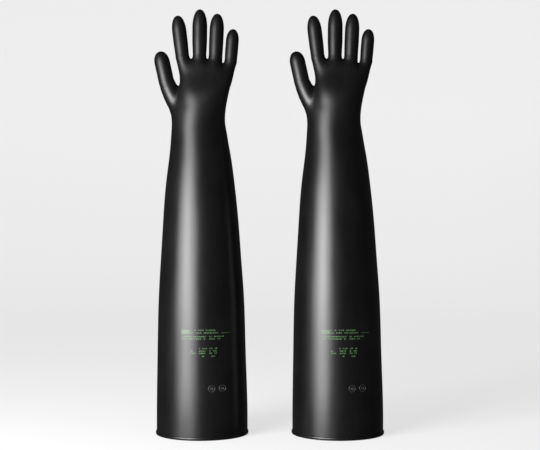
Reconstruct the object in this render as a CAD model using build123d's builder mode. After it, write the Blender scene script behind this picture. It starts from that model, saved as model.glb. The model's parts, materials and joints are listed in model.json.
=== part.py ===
from build123d import *
import os
from math import cos, radians, sin

# A pair of long-sleeved insulating gloves, each standing on its rolled cuff with the fingers
# up. A glove is one dipped rubber skin with the same wall all over. The skin is divided where
# it folds when it is worn: at the elbow, the wrist and two places on each digit.
# X runs across the pair, +Y is the side that the hand closes towards, Z is up.
# Lengths are in millimetres and angles in degrees.

# The pair
GLOVE_SPACING = 260.0  # between the axes of the two cuffs
WALL = 1.5  # thickness of the rubber
GAP = 0.3  # clearance between pieces that move against each other

# The cuff
CUFF_RADIUS = 87.0  # outside of the sleeve, a true cylinder up to CUFF_TOP
CUFF_TOP = 40.0
BEAD_RADIUS = 88.7  # outside of the rolled edge
BEAD_HEIGHT = 6.0
BEAD_ROUND = 1.4

# The sleeve and palm, one piece after another up to the next fold: each row is a section's
# height, its middle across the glove, its half width and its half depth
CUFF_SECTION = (CUFF_TOP, 0.0, CUFF_RADIUS, CUFF_RADIUS)
ELBOW_LOW = (263.0, -1.6, 81.6, 81.6)
ELBOW_HIGH = (405.0, -2.7, 72.3, 72.3)
WRIST_LOW = (552.0, -4.8, 56.0, 55.0)
WRIST_HIGH = (624.0, -4.0, 49.4, 41.0)
LOWER_SECTIONS = [CUFF_SECTION, (150.0, -1.0, 84.6, 84.6), ELBOW_LOW]
ELBOW_SECTIONS = [ELBOW_LOW, (335.0, -2.2, 77.0, 77.0), ELBOW_HIGH]
FOREARM_SECTIONS = [ELBOW_HIGH, (480.0, -3.7, 65.6, 65.6), WRIST_LOW]
WRIST_SECTIONS = [WRIST_LOW, (595.0, -6.9, 50.8, 48.0), WRIST_HIGH]
PALM_SECTIONS = [
    WRIST_HIGH,
    (650.0, 1.0, 49.3, 33.0),
    (675.0, 5.0, 51.0, 26.5),
    (705.0, 8.3, 56.0, 18.5),
    (712.0, 8.8, 54.5, 15.5),
    (715.5, 9.0, 50.0, 11.0),
]

# The digits: foot (across, up), lean from upright, length, radius at the foot and below the
# tip, length of the rounded tip, and how far up the middle of the second fold is
DIGITS = {
    "index": ((-36.8, 718.0), -6.9, 83.6, 13.4, 13.8, 24.0, 52.5),
    "middle": ((-4.7, 717.0), 0.5, 96.0, 13.1, 14.3, 25.0, 60.5),
    "ring": ((25.3, 717.0), 2.5, 87.7, 13.6, 13.8, 24.0, 55.0),
    "little": ((54.3, 710.0), 4.6, 65.2, 12.1, 12.4, 23.0, 43.0),
    "thumb": ((-66.5, 672.0), -11.7, 61.8, 15.2, 14.7, 20.0, 37.5),
}
DIGIT_ROOT = {"index": 18.0, "middle": 18.0, "ring": 18.0, "little": 18.0, "thumb": 4.0}
STUB = 3.0  # how much of each digit belongs to the palm
CUT_REACH = 2.5  # past the digit's radius, still clear of its neighbour
FIRST_FOLD = {"thumb": 1.2, "finger": 1.85}  # fold length over the digit's foot radius
SECOND_FOLD = {"thumb": 1.55, "finger": 2.05}

# The ball of the thumb, a cone from inside the wrist to the thumb's foot
BALL_FOOT = (-36.0, 600.0)
BALL_RADIUS = 22.0
BALL_LEAN = -23.0
BALL_LENGTH = 78.2
BALL_TOP_RADIUS = 15.5

# Print on the sleeve: rows of bars and two round stamps, on the -Y side
INK = 0.3  # thickness that the print stands proud
INK_ROWS = [  # height of the row's middle, its left end, its right end
    (203.5, -35.0, 34.0),
    (198.5, -35.0, 56.0),
    (193.5, -35.0, 44.0),
    (188.5, -35.0, 40.0),
    (170.5, -19.0, 31.0),
    (164.5, -19.0, 33.0),
    (158.5, -10.0, 31.0),
]
INK_ROW_HEIGHT = 2.6
STAMP_HEIGHT = 96.0
STAMPS_ACROSS = (21.6, 41.3)
STAMP_RADIUS = 6.5
STAMP_LINE = 1.0

os.makedirs("parts", exist_ok=True)


def write_pair(name, piece):
    """Writes one glove piece twice, in the place it has on each glove of the pair."""
    for side, across in (("left", -GLOVE_SPACING / 2), ("right", GLOVE_SPACING / 2)):
        with BuildPart() as placed:
            with Locations((across, 0, 0)):
                add(piece)
        placed.part.label = f"{side}_{name}"
        export_step(placed.part, f"parts/{side}_{name}.step")


def digit_plane(foot, lean):
    """The upright plane that holds a digit's axis: its x is across the digit, y is along it."""
    return Plane(
        origin=(foot[0], 0, foot[1]),
        x_dir=(cos(radians(lean)), 0, -sin(radians(lean))),
        z_dir=(0, -1, 0),
    )


def section_form(sections, inset, closed=False):
    """A smooth body through sections, drawn in by inset. Its ends reach past the outer
    body's when it is drawn in, so that the skin between them is open, unless it is closed."""
    last_reach = -inset if closed else inset
    reaches = [-inset] + [0.0] * (len(sections) - 2) + [last_reach]
    with BuildPart() as form:
        for (height, middle, half_width, half_depth), reach in zip(sections, reaches):
            with BuildSketch(Plane.XY.offset(height + reach)):
                with Locations((middle, 0)):
                    Ellipse(half_width - inset, half_depth - inset)
        loft()
    return form.part


def ball_form(inset):
    """The ball of the thumb, rounded where the thumb stands on it."""
    plane = digit_plane(BALL_FOOT, BALL_LEAN)
    axis = Axis(plane.origin, plane.y_dir)
    with BuildPart() as ball:
        with BuildSketch(plane):
            with BuildLine():
                Polyline(
                    (0, 0),
                    (BALL_RADIUS - inset, 0),
                    (BALL_TOP_RADIUS - inset, BALL_LENGTH),
                    (0, BALL_LENGTH),
                    close=True,
                )
            make_face()
        revolve(axis=axis)
        foot = DIGITS["thumb"][0]
        with Locations((foot[0], 0, foot[1])):
            Sphere(BALL_TOP_RADIUS - inset)
    return ball.part


def digit_profile(digit, inset, root):
    """Half of a digit's outline, beside its axis, from root below its foot to its rounded
    tip, drawn in by inset."""
    length, foot_radius, end_radius, dome = DIGITS[digit][2:6]
    tip_points = [
        (
            (end_radius - inset) * cos(radians(angle)),
            length - dome + (dome - inset) * sin(radians(angle)),
        )
        for angle in (0, 30, 60, 90)
    ]
    with BuildSketch() as profile:
        with BuildLine():
            Polyline(
                (0, length - inset),
                (0, -root),
                (foot_radius - inset, -root),
                (foot_radius - inset, 0),
                (end_radius - inset, length - dome),
            )
            Spline(*tip_points, tangents=[(0, 1), (-1, 0)])
        make_face()
    return profile.sketch


def digit_form(digit, inset, root):
    """A whole digit, drawn in by inset."""
    plane = digit_plane(*DIGITS[digit][:2])
    with BuildPart() as form:
        with BuildSketch(plane):
            add(digit_profile(digit, inset, root))
        revolve(axis=Axis(plane.origin, plane.y_dir))
    return form.part


def digit_cut(digit, along):
    """The plane across a digit, a distance along it from its foot, facing its tip."""
    foot, lean = DIGITS[digit][:2]
    plane = digit_plane(foot, lean)
    return Plane(origin=plane.origin + plane.y_dir * along, z_dir=plane.y_dir)


def digit_stations(digit):
    """The distances along a digit at which its pieces end, from the palm to the tip."""
    foot_radius, middle_fold = DIGITS[digit][3], DIGITS[digit][6]
    kind = "thumb" if digit == "thumb" else "finger"
    first_top = STUB + FIRST_FOLD[kind] * foot_radius
    half_second = SECOND_FOLD[kind] * foot_radius / 2
    return first_top, middle_fold - half_second, middle_fold + half_second


# The lower sleeve, with the cylinder of the cuff
with BuildPart() as lower_sleeve:
    add(section_form(LOWER_SECTIONS, 0))
    with BuildSketch(Plane.XY.offset(BEAD_HEIGHT)):
        Circle(CUFF_RADIUS)
    extrude(amount=CUFF_TOP - BEAD_HEIGHT)
    add(section_form(LOWER_SECTIONS, WALL), mode=Mode.SUBTRACT)
    with BuildSketch(Plane.XY.offset(BEAD_HEIGHT)):
        Circle(CUFF_RADIUS - WALL)
    extrude(amount=CUFF_TOP - BEAD_HEIGHT, mode=Mode.SUBTRACT)
write_pair("lower_sleeve", lower_sleeve.part)

with BuildPart() as elbow_fold:
    add(section_form(ELBOW_SECTIONS, 0))
    add(section_form(ELBOW_SECTIONS, WALL), mode=Mode.SUBTRACT)
    split(bisect_by=Plane.XY.offset(ELBOW_HIGH[0] - GAP), keep=Keep.BOTTOM)
write_pair("elbow_fold", elbow_fold.part)

with BuildPart() as forearm_sleeve:
    add(section_form(FOREARM_SECTIONS, 0))
    add(section_form(FOREARM_SECTIONS, WALL), mode=Mode.SUBTRACT)
write_pair("forearm_sleeve", forearm_sleeve.part)

# The wrist, with the foot of the ball of the thumb
with BuildPart() as wrist_fold:
    add(section_form(WRIST_SECTIONS, 0))
    add(ball_form(0))
    add(section_form(WRIST_SECTIONS, WALL), mode=Mode.SUBTRACT)
    add(ball_form(WALL), mode=Mode.SUBTRACT)
    split(bisect_by=Plane.XY.offset(WRIST_HIGH[0] - GAP), keep=Keep.BOTTOM)
write_pair("wrist_fold", wrist_fold.part)


def palm_form(inset):
    """The palm with the ball of the thumb and the foot of each digit, drawn in by inset."""
    with BuildPart() as form:
        add(section_form(PALM_SECTIONS, inset, closed=True))
        add(ball_form(inset))
        for digit in DIGITS:
            add(digit_form(digit, inset, DIGIT_ROOT[digit]))
    return form.part


# The palm, cut open at every digit
with BuildPart() as palm:
    add(palm_form(0))
    add(palm_form(WALL), mode=Mode.SUBTRACT)
    split(bisect_by=Plane.XY.offset(WRIST_HIGH[0]), keep=Keep.TOP)
    for digit, (_, _, length, foot_radius, *_) in DIGITS.items():
        with BuildSketch(digit_cut(digit, STUB)):
            Circle(foot_radius + CUT_REACH)
        extrude(amount=length, mode=Mode.SUBTRACT)
write_pair("palm", palm.part)

# The digits
for digit, (foot, lean, length, foot_radius, *_) in DIGITS.items():
    plane = digit_plane(foot, lean)
    first_top, second_low, second_high = digit_stations(digit)
    pieces = {
        "base_fold": (STUB, first_top - GAP),
        "proximal": (first_top, second_low),
        "mid_fold": (second_low, second_high - GAP),
        "tip": (second_high, length),
    }
    for piece_name, (low, high) in pieces.items():
        with BuildPart() as digit_piece:
            with BuildSketch(plane):
                add(digit_profile(digit, 0, DIGIT_ROOT[digit]))
                add(digit_profile(digit, WALL, DIGIT_ROOT[digit] + WALL), mode=Mode.SUBTRACT)
                with Locations((0, low)):
                    Rectangle(
                        foot_radius + CUT_REACH,
                        high - low,
                        align=(Align.MIN, Align.MIN),
                        mode=Mode.INTERSECT,
                    )
            revolve(axis=Axis(plane.origin, plane.y_dir))
        write_pair(f"{digit}_{piece_name}", digit_piece.part)

# The rolled edge of the cuff, flat where it stands
with BuildPart() as cuff_bead:
    with BuildSketch(Plane.XZ) as bead_section:
        with Locations((CUFF_RADIUS - WALL, 0)):
            Rectangle(BEAD_RADIUS - CUFF_RADIUS + WALL, BEAD_HEIGHT, align=(Align.MIN, Align.MIN))
        outer_corners = bead_section.vertices().group_by(Axis.X)[-1]
        fillet(outer_corners, BEAD_ROUND)
    revolve(axis=Axis.Z)
write_pair("cuff_bead", cuff_bead.part)

# The print, a thin layer that follows the sleeve
with BuildPart() as print_layer:
    add(section_form(LOWER_SECTIONS, -INK))
    add(section_form(LOWER_SECTIONS, 0), mode=Mode.SUBTRACT)

with BuildPart() as ink_marking:
    for height, left, right in INK_ROWS:
        with BuildSketch(Plane.XZ):
            with Locations(((left + right) / 2, height)):
                Rectangle(right - left, INK_ROW_HEIGHT)
        extrude(amount=BEAD_RADIUS)
    add(print_layer.part, mode=Mode.INTERSECT)
write_pair("ink_marking", ink_marking.part)

with BuildPart() as stamp_marks:
    with BuildSketch(Plane.XZ):
        with Locations(*[(across, STAMP_HEIGHT) for across in STAMPS_ACROSS]):
            Circle(STAMP_RADIUS)
            Circle(STAMP_RADIUS - STAMP_LINE, mode=Mode.SUBTRACT)
    extrude(amount=BEAD_RADIUS)
    add(print_layer.part, mode=Mode.INTERSECT)
write_pair("stamp_marks", stamp_marks.part)
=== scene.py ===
import json
import math
import random

import bmesh
import bpy
import numpy as np
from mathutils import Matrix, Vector
from mathutils.bvhtree import BVHTree


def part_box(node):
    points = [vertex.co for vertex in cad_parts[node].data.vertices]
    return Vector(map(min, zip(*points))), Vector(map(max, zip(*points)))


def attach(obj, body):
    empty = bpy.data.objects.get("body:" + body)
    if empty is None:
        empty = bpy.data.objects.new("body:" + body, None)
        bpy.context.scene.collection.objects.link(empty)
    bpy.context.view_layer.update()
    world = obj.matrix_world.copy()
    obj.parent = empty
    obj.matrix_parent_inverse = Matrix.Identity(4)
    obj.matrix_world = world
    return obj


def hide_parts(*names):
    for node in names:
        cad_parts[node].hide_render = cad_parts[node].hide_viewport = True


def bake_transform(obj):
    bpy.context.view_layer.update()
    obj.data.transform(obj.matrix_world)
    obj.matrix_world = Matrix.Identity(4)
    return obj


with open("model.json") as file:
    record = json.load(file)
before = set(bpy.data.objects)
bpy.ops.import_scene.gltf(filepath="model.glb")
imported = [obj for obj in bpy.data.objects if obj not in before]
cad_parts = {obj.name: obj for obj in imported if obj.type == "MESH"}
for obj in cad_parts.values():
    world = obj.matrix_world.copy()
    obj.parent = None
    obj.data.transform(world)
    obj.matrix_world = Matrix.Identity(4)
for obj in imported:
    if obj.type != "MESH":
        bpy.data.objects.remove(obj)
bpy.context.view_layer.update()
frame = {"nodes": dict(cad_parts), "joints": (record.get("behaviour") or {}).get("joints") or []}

# A pair of black insulating gloves. Each glove is one smooth skin of even thickness, formed as
# a blend of a sleeve, a palm and five digits, then cut into pieces between its joints. Both
# gloves have the same form, so it is measured on the left one, about the middle of its cuff.
# Lengths are in metres.

SIDES = ("left", "right")
DIGITS = ("index", "middle", "ring", "little", "thumb")
JOINTS = {joint["name"]: joint for joint in frame["joints"]}

WALL = 0.0015  # thickness of the rubber
CELL = 0.0020  # size of the hand's mesh cells
RELAX_ROUNDS = 6
HAND_LOW = (-0.100, -0.072)  # the space around the hand: its low x and y
HAND_HIGH = (0.084, 0.072, 0.820)
RING_STEP = 0.005  # height between the sleeve's rings
RING_POINTS = 192
GRADIENT_STEP = 0.0002
CUT_SNAP = 1e-6  # a vertex this close to a cut counts as on it

# Where the sleeve's sections are measured
FIRST_SECTION = 0.042  # height of the lowest, above the straight part at the cuff
SECTION_INSET = 0.002  # how far above its foot each other part is first measured
RAY_START = 0.5

# The hand's sections above the wrist: height over the top of the wrist fold, middle, half
# width, half depth
PALM_FORM = [
    (0.000, -0.0040, 0.0494, 0.0445),
    (0.026, 0.0014, 0.0488, 0.0395),
    (0.044, 0.0052, 0.0490, 0.0318),
    (0.061, 0.0083, 0.0493, 0.0240),
    (0.076, 0.0087, 0.0496, 0.0188),
    (0.090, 0.0088, 0.0502, 0.0155),
    (0.110, 0.0088, 0.0517, 0.0136),
]
SQUARENESS = ((0.622, 0.685), (2.0, 3.0))  # heights, and how square the section is at each
KNUCKLE_LINE = ((-0.060, 0.000, 0.024, 0.040, 0.070), (0.7165, 0.7165, 0.7140, 0.7065, 0.7120))
KNUCKLE_ROUND = 0.026

# How softly the forms run into each other
FINGER_BLEND = 0.0030
KNUCKLE_BLEND = 0.0120
THUMB_BLEND = ((0.600, 0.662), (0.024, 0.010))  # heights, and the blend at each
ROOT_BLEND = 0.0008

# How far each digit stands aside from the joints, how much further it leans in degrees, how
# much its foot narrows, and the points (x, z, radius) its root curves by inside the palm. The
# thumb's root is the ball of the thumb, which comes up from the wrist.
DIGIT_FORM = {
    "index": (-0.0009, 0.0, 0.96, ((-0.0290, 0.683, 0.0122),)),
    "middle": (-0.0006, 0.0, 0.96, ((-0.0055, 0.690, 0.0122),)),
    "ring": (0.0, 0.0, 0.96, ((0.0242, 0.690, 0.0127),)),
    "little": (0.0, 0.0, 0.97, ((0.0432, 0.676, 0.0104),)),
    "thumb": (-0.0018, -0.8, 0.98, ((0.016, 0.570, 0.022), (-0.046, 0.611, 0.022))),
}
ROOT_STEPS = 10
TAPER_SHARE = 0.40  # how much of a digit's length the change from foot to full radius takes
DOME_SHARE = 0.38  # how much of a digit's length its rounded end takes
DOME_POWER = 2.15  # how full the rounded end is; 2 is an ellipse
LEAST_SLOPE = 0.2  # keeps distances near a form's middle finite


def node_points(node):
    """A node's vertices as an array."""
    vertices = frame["nodes"][node].data.vertices
    points = np.empty(len(vertices) * 3)
    vertices.foreach_get("co", points)
    return points.reshape(-1, 3)


def cuff_middle(side):
    """The middle of a glove's cuff, on the floor."""
    low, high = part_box(f"{side}_cuff_bead")
    return np.array([(low.x + high.x) / 2, (low.y + high.y) / 2, 0.0])


ORIGIN = cuff_middle("left")


# ---------------------------------------------------------------- the form

def natural_spline(at, values):
    """A smooth curve through a few points, as a function."""
    at, values = np.asarray(at, float), np.asarray(values, float)
    step = np.diff(at)
    count = len(at)
    matrix, right = np.eye(count), np.zeros(count)
    for i in range(1, count - 1):
        matrix[i, i - 1 : i + 2] = step[i - 1], 2 * (step[i - 1] + step[i]), step[i]
        slopes = (values[i + 1] - values[i]) / step[i], (values[i] - values[i - 1]) / step[i - 1]
        right[i] = 6 * (slopes[0] - slopes[1])
    bend = np.linalg.solve(matrix, right)

    def value(x):
        x = np.clip(x, at[0], at[-1])
        i = np.clip(np.searchsorted(at, x) - 1, 0, count - 2)
        before, after, h = x - at[i], at[i + 1] - x, step[i]
        curved = (bend[i] * after**3 + bend[i + 1] * before**3) / (6 * h)
        low = (values[i] / h - bend[i] * h / 6) * after
        high = (values[i + 1] / h - bend[i + 1] * h / 6) * before
        return curved + low + high

    return value


def soft_min(a, b, blend):
    """The smaller of two distances, with the crease between them filled."""
    near = np.maximum(blend - np.abs(a - b), 0) / blend
    return np.minimum(a, b) - near**3 * blend / 6


def soft_max(a, b, blend):
    """The larger of two distances, with the edge between them rounded."""
    return -soft_min(-a, -b, blend)


def measured_section(tree, height):
    """One section of the sleeve, found from its four sides: height, middle, half width, half depth."""
    hits = [
        tree.ray_cast(Vector(ORIGIN) + Vector((x, y, height)), Vector((-x, -y, 0)))[0]
        for x, y in ((-RAY_START, 0), (RAY_START, 0), (0, -RAY_START), (0, RAY_START))
    ]
    left, right = hits[0].x - ORIGIN[0], hits[1].x - ORIGIN[0]
    return height, (left + right) / 2, (right - left) / 2, (hits[3].y - hits[2].y) / 2


def measured_sections():
    """The sleeve's sections, from the cuff to the wrist."""
    sections = []
    for node in ("lower_sleeve", "elbow_fold", "forearm_sleeve", "wrist_fold"):
        name = f"left_{node}"
        mesh = frame["nodes"][name].data
        tree = BVHTree.FromPolygons([v.co for v in mesh.vertices], [p.vertices for p in mesh.polygons])
        low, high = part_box(name)
        bottom = FIRST_SECTION if node == "lower_sleeve" else low.z + SECTION_INSET
        sections += [measured_section(tree, height) for height in (bottom, (bottom + high.z) / 2)]
    cuff = (0.0, 0.0, sections[0][2], sections[0][3])
    return [cuff] + sections


WRIST_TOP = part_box("left_palm")[0].z
SECTIONS = measured_sections() + [(WRIST_TOP + h, *rest) for h, *rest in PALM_FORM]
HEIGHTS = [section[0] for section in SECTIONS]
form_middle = natural_spline(HEIGHTS, [section[1] for section in SECTIONS])
form_width = natural_spline(HEIGHTS, [section[2] for section in SECTIONS])
form_depth = natural_spline(HEIGHTS, [section[3] for section in SECTIONS])


def ease(x, places, values):
    """Goes smoothly from one value to the other between two places."""
    share = np.clip((x - places[0]) / (places[1] - places[0]), 0, 1)
    return values[0] + (values[1] - values[0]) * share * share * (3 - 2 * share)


def round_distance(across, over, across_radius, over_radius, power):
    """Distance from a superellipse."""
    across, over = across / across_radius, over / over_radius
    size = np.maximum(across**power + over**power, 1e-9) ** (1 / power)
    across_slope = (across / size) ** (power - 1) / across_radius
    over_slope = (over / size) ** (power - 1) / over_radius
    return (size - 1) / np.maximum(np.hypot(across_slope, over_slope), LEAST_SLOPE / across_radius)


def smooth_path(controls, steps):
    """Points (x, z, radius) along a curve that starts and ends at the outer controls."""
    share = np.linspace(0, 1, steps + 1)[:, None]
    controls = [np.array(control) for control in controls]
    while len(controls) > 1:
        controls = [a + (b - a) * share for a, b in zip(controls, controls[1:])]
    return controls[0]


def cone_distance(points, foot, top):
    """Distance from a cone with round ends, each given as (x, z, radius)."""
    axis = np.array([top[0] - foot[0], 0.0, top[1] - foot[1]])
    offset = points - (foot[0], 0.0, foot[1])
    share = np.clip((offset @ axis) / (axis @ axis), 0, 1)
    radius = foot[2] + (top[2] - foot[2]) * share
    return np.linalg.norm(offset - share[:, None] * axis, axis=1) - radius


def sleeve_distance(points):
    """Distance from the sleeve and palm, without their top."""
    height = points[:, 2]
    across = np.abs(points[:, 0] - form_middle(height))
    power = ease(height, *SQUARENESS)
    return round_distance(across, np.abs(points[:, 1]), form_width(height), form_depth(height), power)


class Digit:
    """One digit of the glove, with its place and size read from its joints and nodes."""

    def __init__(self, name):
        self.name = name
        knuckle = np.array(JOINTS[f"left_{name}_knuckle"]["pos_m"]) - ORIGIN
        middle = np.array(JOINTS[f"left_{name}_middle_joint"]["pos_m"]) - ORIGIN
        self.along = (middle - knuckle) / np.linalg.norm(middle - knuckle)
        first, second, tip = (
            (node_points(f"left_{name}_{part}") - ORIGIN - knuckle) @ self.along
            for part in ("base_fold", "mid_fold", "tip")
        )
        self.origin = knuckle + self.along * first.min()
        self.first_fold = (0.0, first.max() - first.min())
        self.second_fold = (second.min() - first.min(), second.max() - first.min())
        self.length = tip.max() - first.min()
        self.foot_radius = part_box(f"left_{name}_base_fold")[1].y
        self.end_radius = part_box(f"left_{name}_mid_fold")[1].y
        self.dome = DOME_SHARE * self.length
        self.cut = (self.first_fold[1] + self.second_fold[0]) / 2
        aside, lean, narrowing, root = DIGIT_FORM[name]
        self.foot_radius *= narrowing
        turn = math.atan2(self.along[0], self.along[2]) + math.radians(lean)
        self.along = np.array([math.sin(turn), 0, math.cos(turn)])
        self.across = np.cross([0, 1, 0], self.along)
        self.origin = self.origin + self.across * aside
        foot = (self.origin[0], self.origin[2], self.foot_radius)
        self.root = smooth_path([*root, foot], ROOT_STEPS if len(root) > 1 else 1)

    def distance_along(self, points):
        return (points - self.origin) @ self.along

    def distance(self, points):
        """Distance from the digit's surface."""
        offset = points - self.origin
        along = offset @ self.along
        aside = np.sqrt((offset @ self.across) ** 2 + offset[:, 1] ** 2 + np.minimum(along, 0) ** 2)
        dome_start = self.length - self.dome
        radius = ease(along, (0, TAPER_SHARE * self.length), (self.foot_radius, self.end_radius))
        over = np.maximum(along - dome_start, 0)
        tube = round_distance(aside, over, radius, self.dome, DOME_POWER)
        cones = [cone_distance(points, *ends) for ends in zip(self.root, self.root[1:])]
        return soft_min(tube, np.minimum.reduce(cones), ROOT_BLEND)

    def point(self, along, shift=(0.0, 0.0, 0.0)):
        """The point on the digit's axis at a length along it."""
        return tuple(self.origin + self.along * along + shift)


digits = {name: Digit(name) for name in DIGITS}


def glove_distance(points):
    """Distance from the outside of a glove, negative inside it."""
    fingers = digits["index"].distance(points)
    for name in ("middle", "ring", "little"):
        fingers = soft_min(fingers, digits[name].distance(points), FINGER_BLEND)
    above = points[:, 2] - np.interp(points[:, 0], *KNUCKLE_LINE)
    palm = soft_max(sleeve_distance(points), above, KNUCKLE_ROUND)
    hand = soft_min(palm, fingers, KNUCKLE_BLEND)
    return soft_min(hand, digits["thumb"].distance(points), ease(points[:, 2], *THUMB_BLEND))


def gradient(field, points):
    """The field's slope at each point."""
    slopes = [
        field(points + step) - field(points - step) for step in np.eye(3) * GRADIENT_STEP
    ]
    return np.stack(slopes, 1) / (2 * GRADIENT_STEP)


def surface_normals(field, points):
    """The field's direction at each point, one long."""
    slopes = gradient(field, points)
    return slopes / np.linalg.norm(slopes, axis=1)[:, None]


def settle(field, points, rounds=3):
    """Moves points onto the surface."""
    for _ in range(rounds):
        slopes = gradient(field, points)
        points = points - slopes * (field(points) / (slopes**2).sum(1))[:, None]
    return points


# ---------------------------------------------------------------- meshing

def surface_net(field, low, high, cell):
    """An even quad mesh of the field's surface inside a box."""
    counts = np.ceil((high - low) / cell).astype(int) + 1
    grid = np.stack(
        np.meshgrid(*[low[i] + cell * np.arange(counts[i]) for i in range(3)], indexing="ij"), -1
    )
    values = field(grid.reshape(-1, 3)).reshape(counts)
    inside = values < 0
    total = np.zeros((*(counts - 1), 3))
    hits = np.zeros(counts - 1)
    crossings = []
    for axis in range(3):
        along_axis = np.moveaxis(values, axis, 0)
        first, second = along_axis[:-1], along_axis[1:]
        crossing = (first < 0) != (second < 0)
        share = np.where(crossing, first / np.where(crossing, first - second, 1), 0)
        place = np.moveaxis(grid, axis, 0)[:-1].copy()
        place[..., axis] += share * cell
        cell_total, cell_hits = np.moveaxis(total, axis, 0), np.moveaxis(hits, axis, 0)
        rows, columns = cell_hits.shape[1:]
        for i in (0, 1):
            for j in (0, 1):
                part = crossing[:, i : i + rows, j : j + columns]
                cell_total += place[:, i : i + rows, j : j + columns] * part[..., None]
                cell_hits += part
        crossings.append(crossing)
    active = hits > 0
    index = np.full(active.shape, -1)
    index[active] = np.arange(active.sum())
    points = total[active] / hits[active][:, None]
    quads = []
    for axis, crossing in enumerate(crossings):
        inner = crossing[:, 1:-1, 1:-1]
        starts_inside = np.moveaxis(inside, axis, 0)[:-1, 1:-1, 1:-1][inner]
        cells = np.moveaxis(index, axis, 0)
        ring = (cells[:, :-1, :-1], cells[:, 1:, :-1], cells[:, 1:, 1:], cells[:, :-1, 1:])
        faces = np.stack(ring, -1)[inner]
        outward = starts_inside != (axis == 1)
        faces[~outward] = faces[~outward][:, ::-1]
        quads.append(faces)
    quads = np.concatenate(quads)
    return points, quads[(quads >= 0).all(1)]


def relax(field, points, quads, rounds):
    """Evens out a mesh along its surface."""
    pairs = np.concatenate([quads[:, [i, (i + 1) % 4]] for i in range(4)])
    pairs = np.concatenate([pairs, pairs[:, ::-1]])
    links = np.bincount(pairs[:, 0], minlength=len(points))[:, None]
    for _ in range(rounds):
        around = np.stack(
            [np.bincount(pairs[:, 0], points[pairs[:, 1], i], len(points)) for i in range(3)], 1
        )
        points = settle(field, (points + around / np.maximum(links, 1)) / 2, rounds=1)
    return settle(field, points)


def nearest_digit(points):
    """The number of the digit each point is nearest to."""
    return np.argmin([digits[name].distance(points) for name in DIGITS], axis=0)


def face_middles(bm):
    """The middle of each face, as an array."""
    return np.array([face.calc_center_median() for face in bm.faces])


def cut_across(bm, digit, along):
    """Cuts the mesh across one digit."""
    bm.faces.ensure_lookup_table()
    middles = face_middles(bm)
    belongs = nearest_digit(middles) == DIGITS.index(digit.name)
    close = np.abs(digit.distance_along(middles) - along) < 3 * CELL
    faces = [bm.faces[i] for i in np.flatnonzero(belongs & close)]
    geometry = {part for face in faces for part in (face, *face.edges, *face.verts)}
    bmesh.ops.bisect_plane(
        bm, geom=list(geometry), dist=CUT_SNAP, plane_co=digit.point(along), plane_no=digit.along
    )


def hand_bmesh(cut_height):
    """The outside of the glove above cut_height, with edges where its pieces meet."""
    low = np.array([*HAND_LOW, cut_height - 2 * CELL])
    points, quads = surface_net(glove_distance, low, np.array(HAND_HIGH), CELL)
    points = relax(glove_distance, points, quads, RELAX_ROUNDS)
    bm = bmesh.new()
    for point in points:
        bm.verts.new(point)
    bm.verts.ensure_lookup_table()
    for quad in quads:
        bm.faces.new([bm.verts[i] for i in quad])
    everything = list(bm.verts) + list(bm.edges) + list(bm.faces)
    bmesh.ops.bisect_plane(
        bm,
        geom=everything,
        dist=CUT_SNAP,
        plane_co=(0, 0, cut_height),
        plane_no=(0, 0, 1),
        clear_inner=True,
    )
    for digit in digits.values():
        for along in (0.0, digit.cut):
            cut_across(bm, digit, along)
    return bm


def hand_mesh(cut_height):
    """The points and normals of the glove above cut_height, and its faces by piece."""
    bm = hand_bmesh(cut_height)
    middles = face_middles(bm)
    nearest = nearest_digit(middles)
    piece = np.full(len(middles), "hand", dtype=object)
    for number, digit in enumerate(digits.values()):
        along = digit.distance_along(middles)
        own = nearest == number
        piece[own & (along > 0)] = f"{digit.name}_root"
        piece[own & (along > digit.cut)] = f"{digit.name}_end"
    bm.verts.ensure_lookup_table()
    bm.verts.index_update()
    points = np.array([vertex.co for vertex in bm.verts])
    faces = {name: [] for name in sorted(set(piece))}
    for face, name in zip(bm.faces, piece):
        faces[name].append([vertex.index for vertex in face.verts])
    bm.free()
    return points, surface_normals(glove_distance, points), faces


def sleeve_mesh(low, high):
    """The outside of the sleeve between two heights, as rings."""
    rows = round((high - low) / RING_STEP) + 1
    angles = np.arange(RING_POINTS) * 2 * math.pi / RING_POINTS
    heights = np.linspace(low, high, rows)
    middle, width, depth = (f(heights)[:, None] for f in (form_middle, form_width, form_depth))
    x = middle + width * np.cos(angles)
    y = depth * np.sin(angles)
    z = np.repeat(heights[:, None], RING_POINTS, 1)
    points = np.stack([x, y, z], -1).reshape(-1, 3)
    faces = ring_faces(rows, RING_POINTS)
    return points, surface_normals(sleeve_distance, points), faces


def ring_faces(rows, count, closed_rows=False):
    """Quads between rings of points; with closed_rows, the last ring joins the first."""
    faces = []
    for row in range(rows if closed_rows else rows - 1):
        for i in range(count):
            j = (i + 1) % count
            above = (row + 1) % rows
            faces.append([row * count + i, row * count + j, above * count + j, above * count + i])
    return faces


def new_object(name, points, faces, corner_normals=None):
    """A smooth object in the scene."""
    mesh = bpy.data.meshes.new(name)
    mesh.from_pydata([tuple(p) for p in points], [], faces)
    mesh.polygons.foreach_set("use_smooth", [True] * len(mesh.polygons))
    if corner_normals is not None:
        mesh.normals_split_custom_set([tuple(n) for n in corner_normals])
    mesh.update()
    piece = bpy.data.objects.new(name, mesh)
    bpy.context.scene.collection.objects.link(piece)
    return piece


def open_edges(faces):
    """The edges that only one face uses, in that face's direction."""
    edges = dict.fromkeys(edge for face in faces for edge in zip(face, face[1:] + face[:1]))
    return [(a, b) for a, b in edges if (b, a) not in edges]


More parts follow.
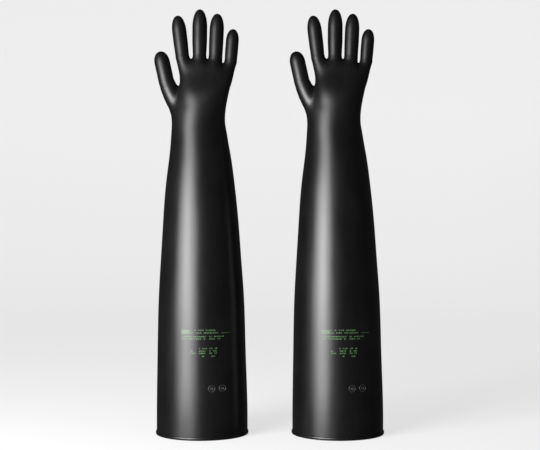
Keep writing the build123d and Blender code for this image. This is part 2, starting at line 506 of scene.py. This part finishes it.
def skin_piece(name, points, normals, faces, shift):
    """A closed piece of rubber: the outer surface, the inner one a wall's thickness below it,
    and a rim along each open edge."""
    used = sorted({i for face in faces for i in face})
    new_index = {old: new for new, old in enumerate(used)}
    faces = [[new_index[i] for i in face] for face in faces]
    outer, normals = points[used] + shift, normals[used]
    inner = outer - WALL * normals
    count = len(outer)
    rims = [[b, a, a + count, b + count] for a, b in open_edges(faces)]
    lining = [[i + count for i in reversed(face)] for face in faces]
    every_point = np.concatenate([outer, inner])
    corner_normals = [normals[i] for face in faces for i in face]
    corner_normals += [-normals[i - count] for face in lining for i in face]
    for rim in rims:
        a, b, c = (every_point[i] for i in rim[:3])
        facing = np.cross(b - a, c - b)
        corner_normals += [facing / np.linalg.norm(facing)] * 4
    return new_object(name, every_point, faces + lining + rims, corner_normals)


# ---------------------------------------------------------------- materials

def new_material(name):
    """A material, its nodes and links, and its shader."""
    material = bpy.data.materials.new(name)
    material.use_nodes = True
    nodes, links = material.node_tree.nodes, material.node_tree.links
    return material, nodes, links, nodes["Principled BSDF"]


def noise(nodes, links, coordinates, scale, detail, stretch=(1.0, 1.0, 1.0)):
    """A noise over the object's own coordinates."""
    mapping = nodes.new("ShaderNodeMapping")
    mapping.inputs["Scale"].default_value = stretch
    links.new(coordinates.outputs["Object"], mapping.inputs["Vector"])
    texture = nodes.new("ShaderNodeTexNoise")
    texture.inputs["Scale"].default_value = scale
    texture.inputs["Detail"].default_value = detail
    links.new(mapping.outputs["Vector"], texture.inputs["Vector"])
    return texture.outputs["Fac"]


def ramp(nodes, links, value, low, high, start=0.35, end=0.65):
    """Maps a value's middle range onto low to high."""
    spread = nodes.new("ShaderNodeMapRange")
    spread.inputs["From Min"].default_value = start
    spread.inputs["From Max"].default_value = end
    spread.inputs["To Min"].default_value = low
    spread.inputs["To Max"].default_value = high
    links.new(value, spread.inputs["Value"])
    return spread.outputs["Result"]


def colour_ramp(nodes, links, value, low, high):
    """Mixes two colours by a value from 0 to 1."""
    mix = nodes.new("ShaderNodeMix")
    mix.data_type = "RGBA"
    mix.inputs["A"].default_value = (*low, 1)
    mix.inputs["B"].default_value = (*high, 1)
    links.new(value, mix.inputs["Factor"])
    return mix.outputs["Result"]


def add_bump(nodes, links, shader, heights):
    """Chains bumps, each given as (height, distance, strength)."""
    normal = None
    for height, distance, strength in heights:
        bump = nodes.new("ShaderNodeBump")
        bump.inputs["Distance"].default_value = distance
        bump.inputs["Strength"].default_value = strength
        links.new(height, bump.inputs["Height"])
        if normal is not None:
            links.new(normal, bump.inputs["Normal"])
        normal = bump.outputs["Normal"]
    links.new(normal, shader.inputs["Normal"])


RUBBER_TONES = ((0.0015, 0.0015, 0.0016), (0.0026, 0.0025, 0.0025))
RUBBER_IOR = 1.5
RUBBER_ROUGHNESS = (0.31, 0.43)  # on the sleeve, and on the hand
ROUGHNESS_HEIGHTS = (0.56, 0.70)
ROUGHNESS_RUNS = 0.02  # how much the runs change the roughness
RUBBER_SHINE = (0.50, 0.22)  # on the sleeve, and on the hand
SHINE_HEIGHTS = (0.61, 0.71)


def rubber_material():
    """Dipped black rubber: satin, with faint runs down the sleeve and a fine grain."""
    material, nodes, links, shader = new_material("black_rubber")
    place = nodes.new("ShaderNodeTexCoord")
    clouds = noise(nodes, links, place, 18.0, 3.0)
    runs = noise(nodes, links, place, 60.0, 3.0, stretch=(1.0, 1.0, 0.12))
    grain = noise(nodes, links, place, 1400.0, 2.0)
    tone = colour_ramp(nodes, links, ramp(nodes, links, clouds, 0, 1), *RUBBER_TONES)
    links.new(tone, shader.inputs["Base Color"])
    height = nodes.new("ShaderNodeSeparateXYZ")
    links.new(place.outputs["Object"], height.inputs["Vector"])
    rough = nodes.new("ShaderNodeMath")
    uneven = ramp(nodes, links, runs, -ROUGHNESS_RUNS, ROUGHNESS_RUNS)
    even = ramp(nodes, links, height.outputs["Z"], *RUBBER_ROUGHNESS, *ROUGHNESS_HEIGHTS)
    links.new(uneven, rough.inputs[0])
    links.new(even, rough.inputs[1])
    links.new(rough.outputs["Value"], shader.inputs["Roughness"])
    shine = ramp(nodes, links, height.outputs["Z"], *RUBBER_SHINE, *SHINE_HEIGHTS)
    links.new(shine, shader.inputs["Specular IOR Level"])
    shader.inputs["IOR"].default_value = RUBBER_IOR
    relief = [(clouds, 0.0006, 0.25), (runs, 0.0002, 0.20), (grain, 0.00003, 0.30)]
    add_bump(nodes, links, shader, relief)
    return material


def ink_material(name, low, high, roughness):
    """Printed ink, worn thin in places."""
    material, nodes, links, shader = new_material(name)
    place = nodes.new("ShaderNodeTexCoord")
    worn = noise(nodes, links, place, 260.0, 5.0)
    tone = colour_ramp(nodes, links, ramp(nodes, links, worn, 0, 1, 0.30, 0.62), low, high)
    links.new(tone, shader.inputs["Base Color"])
    links.new(ramp(nodes, links, worn, roughness, roughness + 0.12), shader.inputs["Roughness"])
    add_bump(nodes, links, shader, [(worn, 0.0001, 0.4)])
    return material


RUBBER = rubber_material()
GREEN_INK = ink_material("green_ink", (0.007, 0.018, 0.006), (0.027, 0.072, 0.020), 0.42)
GREY_INK = ink_material("grey_ink", (0.005, 0.005, 0.005), (0.015, 0.015, 0.015), 0.50)


def finish_piece(piece, material):
    """Gives a piece its material and the slot that goes with it."""
    piece.data.materials.append(material)


# ---------------------------------------------------------------- the pieces

ELBOW = (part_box("left_elbow_fold")[0].z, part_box("left_forearm_sleeve")[0].z)
WRIST = (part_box("left_wrist_fold")[0].z, WRIST_TOP)
SLEEVE_TOP = (ELBOW[1] + WRIST[0]) / 2  # where the sleeve's skin meets the hand's
BEAD_LOW, BEAD_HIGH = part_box("left_cuff_bead")
BEAD_HEIGHT = BEAD_HIGH.z
BEAD_RADIUS = (BEAD_HIGH.x - BEAD_LOW.x) / 2
SLEEVE_FOOT = BEAD_HEIGHT * 0.6  # where the sleeve's skin starts, inside the roll
ROLL_POINTS = 28
ROLL_POWER = 2.6  # how full the roll's section is; 2 is an ellipse


def cuff_roll(side, shift):
    """The rolled edge: a bead with a crease where the roll meets the sleeve."""
    inner = form_width(0.0) - WALL
    middle, half = (inner + BEAD_RADIUS) / 2, (BEAD_RADIUS - inner) / 2
    turns = np.arange(ROLL_POINTS) * 2 * math.pi / ROLL_POINTS
    cosines, sines = np.cos(turns), np.sin(turns)
    across = middle + half * np.sign(cosines) * np.abs(cosines) ** (2 / ROLL_POWER)
    up = BEAD_HEIGHT / 2 * (1 + np.sign(sines) * np.abs(sines) ** (2 / ROLL_POWER))
    around = np.arange(RING_POINTS) * 2 * math.pi / RING_POINTS
    points = [
        (radius * math.cos(angle), radius * math.sin(angle), height)
        for radius, height in zip(across, up)
        for angle in around
    ]
    faces = ring_faces(len(turns), RING_POINTS, closed_rows=True)
    piece = new_object(f"{side}_cuff_roll", np.array(points) + shift, faces)
    finish_piece(piece, RUBBER)
    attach(piece, f"{side}_glove")
    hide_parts(f"{side}_cuff_bead")


INK_LIFT = 0.00015
INK_SINK = 0.00005  # how far the underside of the ink lies inside the rubber
INK_STEP = 0.002
INK_LINES = [  # height, left, right of a line of small marks, and how long its marks are
    (0.2040, -0.0170, 0.0310, 0.0030),
    (0.1992, -0.0170, 0.0350, 0.0024),
    (0.1922, -0.0330, -0.0180, 0.0026),
    (0.1922, -0.0170, 0.0120, 0.0030),
    (0.1922, 0.0176, 0.0440, 0.0030),
    (0.1880, -0.0340, 0.0110, 0.0026),
    (0.1880, 0.0176, 0.0405, 0.0026),
    (0.1704, -0.0013, 0.0330, 0.0034),
    (0.1657, -0.0172, -0.0065, 0.0024),
    (0.1657, -0.0013, 0.0133, 0.0028),
    (0.1657, 0.0176, 0.0330, 0.0028),
    (0.1615, -0.0172, -0.0065, 0.0024),
    (0.1615, -0.0013, 0.0133, 0.0028),
    (0.1615, 0.0176, 0.0330, 0.0028),
    (0.1560, 0.0046, 0.0104, 0.0026),
    (0.1560, 0.0210, 0.0290, 0.0026),
]
INK_BARS = [  # left, right, low, high of the solid bars
    (-0.0348, -0.0186, 0.1972, 0.2046),
    (0.0398, 0.0553, 0.1980, 0.1991),
]
INK_MARK_HEIGHT = 0.0024
INK_MARK_WIDTHS = (0.5, 1.3)  # least and most, of the line's mark length
INK_GAP = 0.0008
INK_WIDE_GAP = 0.0035  # added to some of the gaps
INK_WIDE_GAP_CHANCE = 0.16
INK_SEED = 7
STAMP_BANDS = ((0.80, 1.0), (0.12, 0.42))  # inner and outer radius of the ring and of the disc
STAMP_POINTS = 40


def front_point(x, z, lift):
    """The point on the front of the sleeve at x and z, lifted off it."""
    width, depth = form_width(z) + lift, form_depth(z) + lift
    return x, -depth * math.sqrt(1 - ((x - form_middle(z)) / width) ** 2), z


def print_patch(left, right, low, high):
    """A thin closed patch of ink on the front of the sleeve."""
    columns = max(2, round((right - left) / INK_STEP) + 1)
    points = [
        front_point(x, height, lift)
        for lift in (INK_LIFT, -INK_SINK)
        for height in (low, high)
        for x in np.linspace(left, right, columns)
    ]
    faces, sheet = [], 2 * columns
    for i in range(columns - 1):
        faces.append([i, i + 1, columns + i + 1, columns + i])
        faces.append([sheet + columns + i, sheet + columns + i + 1, sheet + i + 1, sheet + i])
        faces.append([i + 1, i, sheet + i, sheet + i + 1])
        faces.append([columns + i, columns + i + 1, sheet + columns + i + 1, sheet + columns + i])
    last = columns - 1
    faces.append([0, columns, sheet + columns, sheet])
    faces.append([columns + last, last, sheet + last, sheet + columns + last])
    return points, faces


def line_of_marks(order, height, left, right, length):
    """One printed line, as a row of marks of uneven width."""
    low, high = height - INK_MARK_HEIGHT / 2, height + INK_MARK_HEIGHT / 2
    patches, x = [], left
    while x < right - length:
        width = length * order.uniform(*INK_MARK_WIDTHS)
        patches.append(print_patch(x, x + width, low, high))
        x += width + INK_GAP + (INK_WIDE_GAP if order.random() < INK_WIDE_GAP_CHANCE else 0.0)
    return patches


def ink_marks(side, shift):
    """The printed block on the sleeve, as lines of plain marks that say nothing."""
    order = random.Random(INK_SEED)
    patches = [print_patch(*bar) for bar in INK_BARS]
    for line in INK_LINES:
        patches += line_of_marks(order, *line)
    points, faces = [], []
    for patch_points, patch_faces in patches:
        faces += [[i + len(points) for i in face] for face in patch_faces]
        points += patch_points
    piece = new_object(f"{side}_ink_marks", np.array(points) + shift, faces)
    for polygon in piece.data.polygons:
        polygon.use_smooth = False
    finish_piece(piece, GREEN_INK)
    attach(piece, f"{side}_glove")
    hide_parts(f"{side}_ink_marking")


def stamp_band(place, height, inner, outer):
    """A thin closed ring of ink on the front of the sleeve."""
    turns = [2 * math.pi * i / STAMP_POINTS for i in range(STAMP_POINTS)]
    points = [
        front_point(place + radius * math.cos(turn), height + radius * math.sin(turn), lift)
        for lift in (INK_LIFT, -INK_SINK)
        for radius in (inner, outer)
        for turn in turns
    ]
    faces = []
    top, rim, under, under_rim = (k * STAMP_POINTS for k in range(4))
    for i in range(STAMP_POINTS):
        j = (i + 1) % STAMP_POINTS
        faces.append([rim + j, rim + i, top + i, top + j])
        faces.append([under + j, under + i, under_rim + i, under_rim + j])
        faces.append([under_rim + i, under_rim + j, rim + j, rim + i])
        faces.append([top + i, top + j, under + j, under + i])
    return points, faces


def stamp_rings(side, shift):
    """Two plain round stamps: a ring around a small disc each."""
    low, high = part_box("left_stamp_marks")
    radius, height = (high.z - low.z) / 2, (high.z + low.z) / 2
    points, faces = [], []
    for place in (low.x - ORIGIN[0] + radius, high.x - ORIGIN[0] - radius):
        for inner, outer in STAMP_BANDS:
            band_points, band_faces = stamp_band(place, height, radius * inner, radius * outer)
            faces += [[i + len(points) for i in face] for face in band_faces]
            points += band_points
    piece = new_object(f"{side}_stamp_rings", np.array(points) + shift, faces)
    finish_piece(piece, GREY_INK)
    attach(piece, f"{side}_glove")
    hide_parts(f"{side}_stamp_marks")


def sleeve_skin(side, shift):
    """The sleeve from the cuff to the middle of the forearm, across the elbow."""
    points, normals, faces = sleeve_mesh(SLEEVE_FOOT, SLEEVE_TOP)
    skin = skin_piece(f"{side}_sleeve_skin", points, normals, faces, shift)
    finish_piece(skin, RUBBER)
    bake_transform(skin)
    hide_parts(f"{side}_lower_sleeve", f"{side}_elbow_fold")


def hand_skin(side, shift, hand):
    """The sleeve's upper end, the palm and the ball of the thumb, across the wrist."""
    points, normals, faces = hand
    skin = skin_piece(f"{side}_hand_skin", points, normals, faces["hand"], shift)
    finish_piece(skin, RUBBER)
    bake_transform(skin)
    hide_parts(f"{side}_forearm_sleeve", f"{side}_wrist_fold", f"{side}_palm")


def digit_skins(side, shift, hand, digit):
    """A digit's root, across the knuckle, and its end, across the middle joint."""
    points, normals, faces = hand
    base, end = f"{digit.name}_base", f"{digit.name}_end"
    parts = (
        ("root", "hand", base, digit.first_fold, ("base_fold", "proximal")),
        ("end", base, end, digit.second_fold, ("mid_fold", "tip")),
    )
    for part, below, above, fold, nodes in parts:
        name = f"{side}_{digit.name}_{part}_skin"
        skin = skin_piece(name, points, normals, faces[f"{digit.name}_{part}"], shift)
        finish_piece(skin, RUBBER)
        fold_start, fold_end = (digit.point(along, shift) for along in fold)
        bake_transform(skin)
        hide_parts(*(f"{side}_{digit.name}_{node}" for node in nodes))


def build_glove(side, hand):
    """All the pieces of one glove."""
    shift = cuff_middle(side)
    sleeve_skin(side, shift)
    hand_skin(side, shift, hand)
    for digit in digits.values():
        digit_skins(side, shift, hand, digit)
    cuff_roll(side, shift)
    ink_marks(side, shift)
    stamp_rings(side, shift)


# ---------------------------------------------------------------- the studio

PAPER_TONE = 0.20
PAPER_ROUGHNESS = 0.9
PAPER_GLOW = 0.66
FLOOR_RINGS = (0.6, 1.8)
FLOOR_RADIUS = 3.2
FLOOR_BEND = 1.0  # radius of the bend between floor and wall
BEND_STEPS = 12
BACKDROP_TOP = 4.0
BACKDROP_POINTS = 96

LIGHT_AZIMUTH = math.radians(40)
LIGHT_DISTANCE = 1.9
LIGHT_WIDTH = 1.15
LIGHTS = (("tall_light", 0.85, 2.1, 22), ("low_light", 0.48, 0.8, 112))  # height, length, power
WORLD_STRENGTH = 0.035

EYE = (0, -2.304, 0.399)
FOCAL_LENGTH = 80
SENSOR_WIDTH = 36


def paper_material():
    """Pale matt studio paper."""
    material, _, _, shader = new_material("studio_paper")
    shader.inputs["Base Color"].default_value = (PAPER_TONE, PAPER_TONE, PAPER_TONE, 1)
    shader.inputs["Roughness"].default_value = PAPER_ROUGHNESS
    shader.inputs["Emission Color"].default_value = (1, 1, 1, 1)
    shader.inputs["Emission Strength"].default_value = PAPER_GLOW
    return material


def backdrop():
    """A pale floor that curves up into a wall all round."""
    profile = [(radius, 0.0) for radius in (*FLOOR_RINGS, FLOOR_RADIUS)]
    for i in range(1, BEND_STEPS + 1):
        turn = i / BEND_STEPS * math.pi / 2
        radius = FLOOR_RADIUS + FLOOR_BEND * math.sin(turn)
        profile.append((radius, FLOOR_BEND * (1 - math.cos(turn))))
    profile.append((FLOOR_RADIUS + FLOOR_BEND, BACKDROP_TOP))
    points = [
        (radius * math.cos(turn), radius * math.sin(turn), height)
        for radius, height in profile
        for turn in np.arange(BACKDROP_POINTS) * 2 * math.pi / BACKDROP_POINTS
    ]
    middle = list(range(BACKDROP_POINTS))
    around = [face[::-1] for face in ring_faces(len(profile), BACKDROP_POINTS)]
    sweep = new_object("backdrop", points, [middle] + around)
    sweep.data.materials.append(paper_material())
    sweep.visible_glossy = False


def soft_light(name, height, length, power):
    """An upright rectangular light, facing the gloves from the front left."""
    light = bpy.data.lights.new(name, "AREA")
    light.shape = "RECTANGLE"
    light.size, light.size_y = LIGHT_WIDTH, length
    light.energy = power
    lamp = bpy.data.objects.new(name, light)
    x, y = -LIGHT_DISTANCE * math.sin(LIGHT_AZIMUTH), -LIGHT_DISTANCE * math.cos(LIGHT_AZIMUTH)
    lamp.location = (x, y, height)
    lamp.rotation_euler = Vector((-x, -y, 0)).to_track_quat("-Z", "Y").to_euler()
    bpy.context.scene.collection.objects.link(lamp)


def studio():
    """The backdrop, the lights and the faint light all round."""
    backdrop()
    for light in LIGHTS:
        soft_light(*light)
    world = bpy.data.worlds.new("studio_world")
    world.use_nodes = True
    background = world.node_tree.nodes["Background"]
    background.inputs["Color"].default_value = (1, 1, 1, 1)
    background.inputs["Strength"].default_value = WORLD_STRENGTH
    bpy.context.scene.world = world
    bpy.context.scene.view_settings.view_transform = "Standard"


def camera():
    """The camera stands level, at half the gloves' height, in front of the pair."""
    lens = bpy.data.cameras.new("camera")
    lens.sensor_width = SENSOR_WIDTH
    lens.lens = FOCAL_LENGTH
    eye = bpy.data.objects.new("camera", lens)
    eye.location = EYE
    eye.rotation_euler = (math.pi / 2, 0, 0)
    bpy.context.scene.collection.objects.link(eye)
    bpy.context.scene.camera = eye


hand = hand_mesh(SLEEVE_TOP)
for side in SIDES:
    build_glove(side, hand)
studio()
camera()
